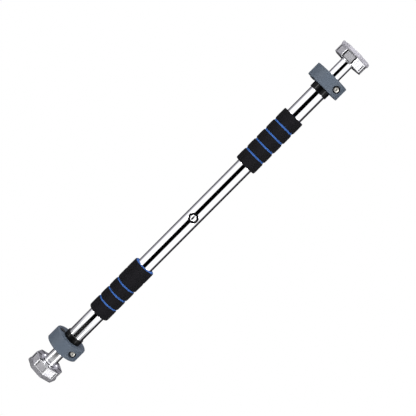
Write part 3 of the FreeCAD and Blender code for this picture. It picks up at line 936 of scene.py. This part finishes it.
@dataclass
class MiddleButton:
    """The slotted button in the middle of the bar, and the black ring round it."""

    turn: float = math.radians(4.0)
    reach: float = 5.9 * MM
    ring_reach: float = 9.9 * MM
    dome_height: float = 2.3 * MM
    shank: float = 3.0 * MM
    slot: tuple[float, float, float] = (3.9 * MM, 1.4 * MM, 0.9 * MM)
    slot_depth: float = 1.1 * MM
    slot_edge: float = 0.2 * MM
    bead: float = 1.0 * MM
    seat_height: float = 1.0 * MM
    around: int = 144

    def build(self) -> None:
        """Makes the ring and the button."""
        tube = span("main_tube")[1][2]
        seat = tube + self.seat_height
        placed(self.ring(tube, seat), "bar", MATT_BLACK, Slot.BLACK_PLASTIC, "centre_washer")
        placed(self.button(seat), "bar", BUTTON, Slot.CHROME, "centre_screw")

    def leaned(self, grid: np.ndarray) -> np.ndarray:
        """Turns points about X by the button's lean t: (x, y cos t - z sin t, y sin t + z cos t).

        Args:
            grid: the points.

        Returns:
            The turned points.
        """
        x, y, z = np.moveaxis(grid, -1, 0)
        lean, rise = math.sin(self.turn), math.cos(self.turn)
        return np.stack([x, y * rise - z * lean, y * lean + z * rise], -1)

    def ring(self, tube: float, seat: float) -> bpy.types.Object:
        """The ring: its foot follows the tube, z = sqrt(R^2 - y^2), and its top is a half-round bead.

        Args:
            tube: the tube's radius R.
            seat: how far from the bar's axis the bead starts.

        Returns:
            The ring.
        """
        outer, inner = self.ring_reach, self.reach + 0.05 * MM
        sweep = np.linspace(0, math.pi, 17)
        radius = np.concatenate([[inner, outer], (outer + inner) / 2 + (outer - inner) / 2 * np.cos(sweep)])
        height = np.concatenate([[0.0, 0.0], seat - 0.2 * MM + self.bead * np.sin(sweep)])
        angle = np.linspace(0, 2 * math.pi, self.around, endpoint=False)
        x, y = radius[:, None] * np.cos(angle), radius[:, None] * np.sin(angle)
        foot = np.sqrt(tube**2 - y**2) + 0.02 * MM
        z = np.where(height[:, None] > 0, height[:, None] + 0 * x, foot)
        return meshed("centre_ring", self.leaned(np.stack([x, y, z], -1)))

    def button(self, seat: float) -> bpy.types.Object:
        """The button: a dome of height h (1 - (r/R)^2.6) over its seat, less a slot with soft sides, on a shank.

        Args:
            seat: how far from the bar's axis the dome's edge is.

        Returns:
            The button.
        """
        spread = np.linspace(0.0, 1.0, 49) ** 0.8 * self.reach
        radius = np.concatenate([spread, [self.reach, self.shank, self.shank, 0.0]])
        dome = seat + 0.15 * MM + self.dome_height * (1 - np.clip(radius / self.reach, 0, 1) ** 2.6)
        dome[-4:] = seat, seat, MM, MM
        angle = np.linspace(0, 2 * math.pi, self.around, endpoint=False)
        x, y = radius[:, None] * np.cos(angle), radius[:, None] * np.sin(angle)
        long, wide, off = self.slot
        inside = np.clip((long - np.abs(x)) / self.slot_edge + 0.5, 0, 1)
        inside = inside * np.clip((wide - np.abs(y - off)) / self.slot_edge + 0.5, 0, 1)
        inside[-4:] = 0.0
        z = dome[:, None] - inside * self.slot_depth
        return meshed("centre_button", self.leaned(np.stack([x, y, z], -1)), closed=False)


@dataclass
class CollarEnd:
    """The new pieces at one end of the bar: the collar's screw, a black cup under its head as painted shade in the
    counterbore, and the rubber pad.
    """

    side: Side
    rubber: Finish
    pad_edge: float = 1.6 * MM
    pad_turn: float = 13.0
    pad_rings: tuple[float, ...] = (8.5 * MM, 15.0 * MM, 21.5 * MM)
    head_height: float = 3.5 * MM
    shank: float = 2.5 * MM
    socket: float = 1.6 * MM
    socket_depth: float = 2.2 * MM
    shade_cup_reach: float = 6.85 * MM
    groove_depth: float = 0.8 * MM
    groove_half: float = 1.1 * MM
    lip: float = 1.2 * MM
    around: int = 160

    def build(self) -> None:
        """Makes the pad, the screw and the black cup of painted shade under its head."""
        self.pad()
        self.screw()

    def screw(self) -> None:
        """The domed cap screw with a six-sided socket, and a black cup under its head that stands in as painted shade
        for the dark counterbore.
        """
        node = self.side.name_of("lock_screw")
        low, high = span(node)
        x, y = (low[0] + high[0]) / 2, (low[1] + high[1]) / 2
        radius, top = (high[0] - low[0]) / 2, high[2]
        floor = top - self.head_height
        head = [(floor, self.shank), (floor, radius), (top - 1.1 * MM, radius), (top - 0.3 * MM, 0.72 * radius)]
        deep = top - self.socket_depth
        hole = [(top, self.socket + 0.5 * MM), (top - 0.2 * MM, self.socket), (deep, self.socket), (deep, 0.0)]
        outline = [(low[2], 0.0), (low[2], self.shank), *head, *hole]
        grid = turned(eased(outline, 0.7 * MM, closed=False), 96)
        grid = stood(self.hexed(grid, floor), x, y)
        piece = meshed(self.side.name_of("lock_screw_domed"), grid, closed=False)
        placed(piece, self.side.name_of("screw"), CREAM_ZINC, Slot.BRIGHT_STEEL, node)
        # A black cup under the head: painted shade for the counterbore's dark ring.
        bottom, reach, bore = floor + 0.03 * MM, self.shade_cup_reach, radius + 0.15 * MM
        bowl = [(bottom + 1.1 * MM, reach), (bottom + 0.9 * MM, reach - 0.6 * MM), (bottom + 0.5 * MM, bore)]
        grid = stood(turned(eased([(bottom, bore), (bottom, reach), *bowl], 0.2 * MM), 96), x, y)
        cup = meshed(self.side.name_of("cup_washer"), grid)
        placed(cup, self.side.name_of("collar"), MATT_BLACK, Slot.BLACK_PLASTIC)

    def hexed(self, grid: np.ndarray, floor: float) -> np.ndarray:
        """Gives the rows of the socket, which are above the floor and near the axis, six sides.

        Args:
            grid: the screw's points, about X.
            floor: the underside of its head.

        Returns:
            The moved points.
        """
        six = sided(grid, 6, 0.0, self.socket * 0.9, self.socket * 0.5, 60.0)
        row = (grid[..., 0] > floor) & (np.hypot(grid[..., 1], grid[..., 2]) < self.socket * 1.1)
        return np.where(row[..., None], six, grid)

    def pad(self) -> None:
        """The rubber pad: an eight-sided disc with soft edges and three rings cut in the face that grips."""
        node = self.side.name_of("pad")
        low, high = span(node)
        near, far = np.sort(np.abs([low[0], high[0]]))
        flat = high[2] / math.cos(math.radians(self.pad_turn)) * math.cos(math.pi / 8)
        half, cut = self.groove_half, self.groove_depth
        face = [
            (far - depth, ring + place)
            for ring in self.pad_rings[::-1]
            for place, depth in ((half, 0), (half * 0.6, cut), (half * -0.6, cut), (-half, 0))
        ]
        back = [(near, 0.0), (near, flat - 6 * MM), (near, flat - self.lip)]
        rim = [(near + self.lip, flat), (far, flat), (far, flat - 5.5 * MM)]
        outline = eased([*back, *rim, *face, (far, 0.0)], self.pad_edge, closed=False) * [self.side.value, 1.0]
        grid = sided(turned(outline, self.around), 8, self.pad_turn, flat - 2 * MM, flat - 5.8 * MM)
        piece = meshed(self.side.name_of("pad_moulding"), grid, closed=False)
        placed(piece, self.side.name_of("slider"), self.rubber, Slot.GREY_RUBBER, node)


@dataclass
class PackedNodes:
    """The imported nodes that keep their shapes, and the finish that each one gets."""

    nodes: Mapping[str, bpy.types.Object]
    middle: Mapping[str, Finish] = field(default_factory=lambda: {"centre_plug": NYLON})
    ends: Mapping[str, Finish] = field(
        default_factory=lambda: {
            "end_bush": GLOSS_BLACK,
            "drive_nut": ZINC,
            "clamp_front": SLATE,
            "clamp_back": SLATE,
            "hinge_pin": BLACK_STEEL,
            "lock_nut": ZINC,
            "lead_screw": ZINC,
            "lead_stop": ZINC,
            "tube_plug": NYLON,
            "foot": CASTING,
            "foot_screw": ZINC,
        }
    )

    def dress(self) -> None:
        """Puts the finishes on."""
        wanted = dict(self.middle)
        for side in Side:
            wanted.update({side.name_of(node): finish for node, finish in self.ends.items()})
        for node, finish in wanted.items():
            finish.put_on(self.nodes[node])
        LOG.info("%d packed nodes finished", len(wanted))


# ---- the studio ----


@dataclass
class Studio:
    """A pale floor, soft light from a white room with one black flag overhead, and the camera.

    The room's places are angles about the bar in degrees, or the x of a direction of length 1. Each pair is where a
    change starts and where it is complete.
    """

    camera_place: Place = (0.263, -0.004, 1.697)
    camera_aim: Place = (0.0298, -0.007, 0.0)
    camera_lens: float = 81.36
    camera_lean: float = math.radians(45.1)
    flag_middle: float = 4.0
    flag_half: float = 25.5
    flag_edge: float = 1.5
    flag_gone: tuple[float, float] = (-0.3505, -0.3545)
    flag_short: tuple[float, float] = (0.2, 0.26)
    flag_back: tuple[float, float] = (0.62, 0.52)
    horizon: tuple[float, float] = (88.0, 112.0)
    greyed: tuple[float, float] = (-0.306, -0.3135)
    brighter: tuple[float, float] = (-0.345, -0.375)
    white: float = 1.15
    stripe: float = 12.0
    stripe_angle: float = 57.0
    overhead: float = 0.55
    floor_half: float = 9.0
    lamp_energy: float = 4.4
    lamp_place: Place = (0.55, -0.2, 1.25)
    lamp_aim: Place = (0.15, 0.0, 0.0)

    def build(self) -> None:
        """Makes the floor, the light and the camera."""
        self.floor()
        self.room()
        self.lamp()
        self.camera()

    def floor(self) -> None:
        """A flat pale sheet under the pads, lit evenly, which polished pieces don't mirror."""
        level = span("right_pad")[0][2]
        half = self.floor_half
        corners = [(x * half, y * half, level) for x, y in ((-1, -1), (1, -1), (1, 1), (-1, 1))]
        mesh = bpy.data.meshes.new("floor")
        mesh.from_pydata(corners, [], [(0, 1, 2, 3)])
        floor = bpy.data.objects.new("floor", mesh)
        bpy.context.scene.collection.objects.link(floor)
        material = bpy.data.materials.new("pale_floor")
        material.use_nodes = True
        material.node_tree.nodes.clear()
        board = Board(material.node_tree)
        inputs = {"Color": (1.0, 1.0, 1.0, 1.0), "Strength": 1.0}
        glow = board.wire(board.node("ShaderNodeEmission", {}, inputs))
        board.node("ShaderNodeOutputMaterial", {}, {"Surface": glow})
        mesh.materials.append(material)
        floor.visible_glossy = False
        floor.visible_diffuse = False

    def room(self) -> None:
        """The light from all round, by the angle a = atan2(y, z) of its direction about the bar.

        Polished pieces mirror the flag and the white. Matt ones are lit from overhead and from +X, and little from
        the other sides. The camera sees plain white.
        """
        world = bpy.data.worlds.new("white_room")
        bpy.context.scene.world = world
        world.use_nodes = True
        world.node_tree.nodes.clear()
        board = Board(world.node_tree)
        x, y, z = board.parts(board.wire(board.node("ShaderNodeTexCoord"), "Generated"))
        angle = y.maths("ARCTAN2", z) * math.degrees(1)
        under = abs(angle).rise(*self.horizon)
        level = self.mirrored(x, angle, under)
        path = board.node("ShaderNodeLightPath")
        soft = 0.03 + z.rise(0.1, 1.0) * self.overhead + x.rise(0.3, 1.0)
        level = level + board.wire(path, "Is Diffuse Ray") * (soft - level)
        strength = level + board.wire(path, "Is Camera Ray") * (1.0 - level)
        colour = board.blend(under, (1.0, 1.0, 1.0), (0.93, 0.91, 1.0))
        inputs = {"Color": colour, "Strength": strength}
        light = board.wire(board.node("ShaderNodeBackground", {}, inputs))
        board.node("ShaderNodeOutputWorld", {}, {"Surface": light})
        bpy.context.scene.view_settings.view_transform = "Standard"
        bpy.context.scene.view_settings.look = "None"

    def mirrored(self, x: Wire, angle: Wire, under: Wire) -> Wire:
        """The light that polished pieces mirror.

        It is black in the flag, for angles within flag_half of flag_middle, white out to the horizon with two narrow
        strip lights, and dim underneath, less so on the +Y side and towards +X. The flag gives way to white past
        flag_gone and flag_short, and is back past flag_back on both sides. The white is greyer from greyed to
        brighter.

        Args:
            x: the X part of the direction.
            angle: its angle about the bar.
            under: 1 under the horizon and 0 above it.

        Returns:
            The level of the light.
        """
        half, edge = self.flag_half, self.flag_edge
        off_flag = abs(angle - self.flag_middle).rise(half - edge, half + edge)
        ends = x.rise(*self.flag_gone).maths("MAXIMUM", x.rise(*self.flag_short))
        lit = off_flag.maths("MAXIMUM", ends * abs(x).rise(*self.flag_back))
        far_side = angle.rise(10.0, -10.0)
        low = far_side * 0.03 + (1.0 - far_side) * (0.34 - angle.rise(122.0, 138.0) * 0.28)
        low = low + x.rise(0.12, 0.3) * (0.5 - low)
        stripes = abs(abs(angle) - self.stripe_angle).rise(6.0, 2.0) * self.stripe
        level = (self.white + stripes + under * (low - self.white - stripes)) * lit
        beyond = x.rise(*self.brighter)
        return level * (1.0 - x.rise(*self.greyed) * (1.0 - beyond) * 0.55 - beyond * 0.2)

    def lamp(self) -> None:
        """A broad soft lamp overhead that gives matt pieces their form and isn't mirrored."""
        data = bpy.data.lights.new("soft_lamp", "AREA")
        data.shape, data.size, data.size_y = "RECTANGLE", 1.6, 0.6
        data.energy = self.lamp_energy
        lamp = bpy.data.objects.new("soft_lamp", data)
        lamp.location = self.lamp_place
        lamp.rotation_mode = "QUATERNION"
        lamp.rotation_quaternion = (Vector(self.lamp_aim) - lamp.location).to_track_quat("-Z", "Y")
        lamp.visible_glossy = False
        bpy.context.scene.collection.objects.link(lamp)

    def camera(self) -> None:
        """The camera looks down on the bar, rolled so that +X runs up to the right."""
        place, aim = np.array(self.camera_place), np.array(self.camera_aim)
        back = (place - aim) / np.linalg.norm(place - aim)
        along = np.array([1.0, 0.0, 0.0]) - back[0] * back
        along /= np.linalg.norm(along)
        across = np.cross(back, along)
        turn, rise = math.cos(self.camera_lean), math.sin(self.camera_lean)
        right, up = turn * along - rise * across, rise * along + turn * across
        matrix = np.eye(4)
        matrix[:3, :3] = np.stack([right, up, back], 1)
        matrix[:3, 3] = place
        data = bpy.data.cameras.new("camera")
        data.lens, data.sensor_width, data.dof.use_dof = self.camera_lens, 36.0, False
        data.clip_start, data.clip_end = 0.01, 50.0
        camera = bpy.data.objects.new("camera", data)
        camera.matrix_world = Matrix(matrix.tolist())
        bpy.context.scene.collection.objects.link(camera)
        bpy.context.scene.camera = camera


def cleared() -> None:
    """Empties the scene that Blender starts with."""
    for item in list(bpy.data.objects):
        bpy.data.objects.remove(item)


def main() -> None:
    """Builds the studio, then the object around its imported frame."""
    logging.basicConfig(level=logging.INFO, format="%(name)s: %(message)s")
    cleared()
    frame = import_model()
    Studio().build()
    PackedNodes(frame["nodes"]).dress()
    Tubes().build()
    Grip(Side.RIGHT).build()
    Grip(Side.LEFT, shallow=(158 * MM,)).build()
    MiddleButton().build()
    CollarEnd(Side.RIGHT, RUBBER).build()
    # The left pad takes the darker copy of the rubber as painted shade.
    CollarEnd(Side.LEFT, SHADED_RUBBER).build()


if __name__ == "__main__":
    main()
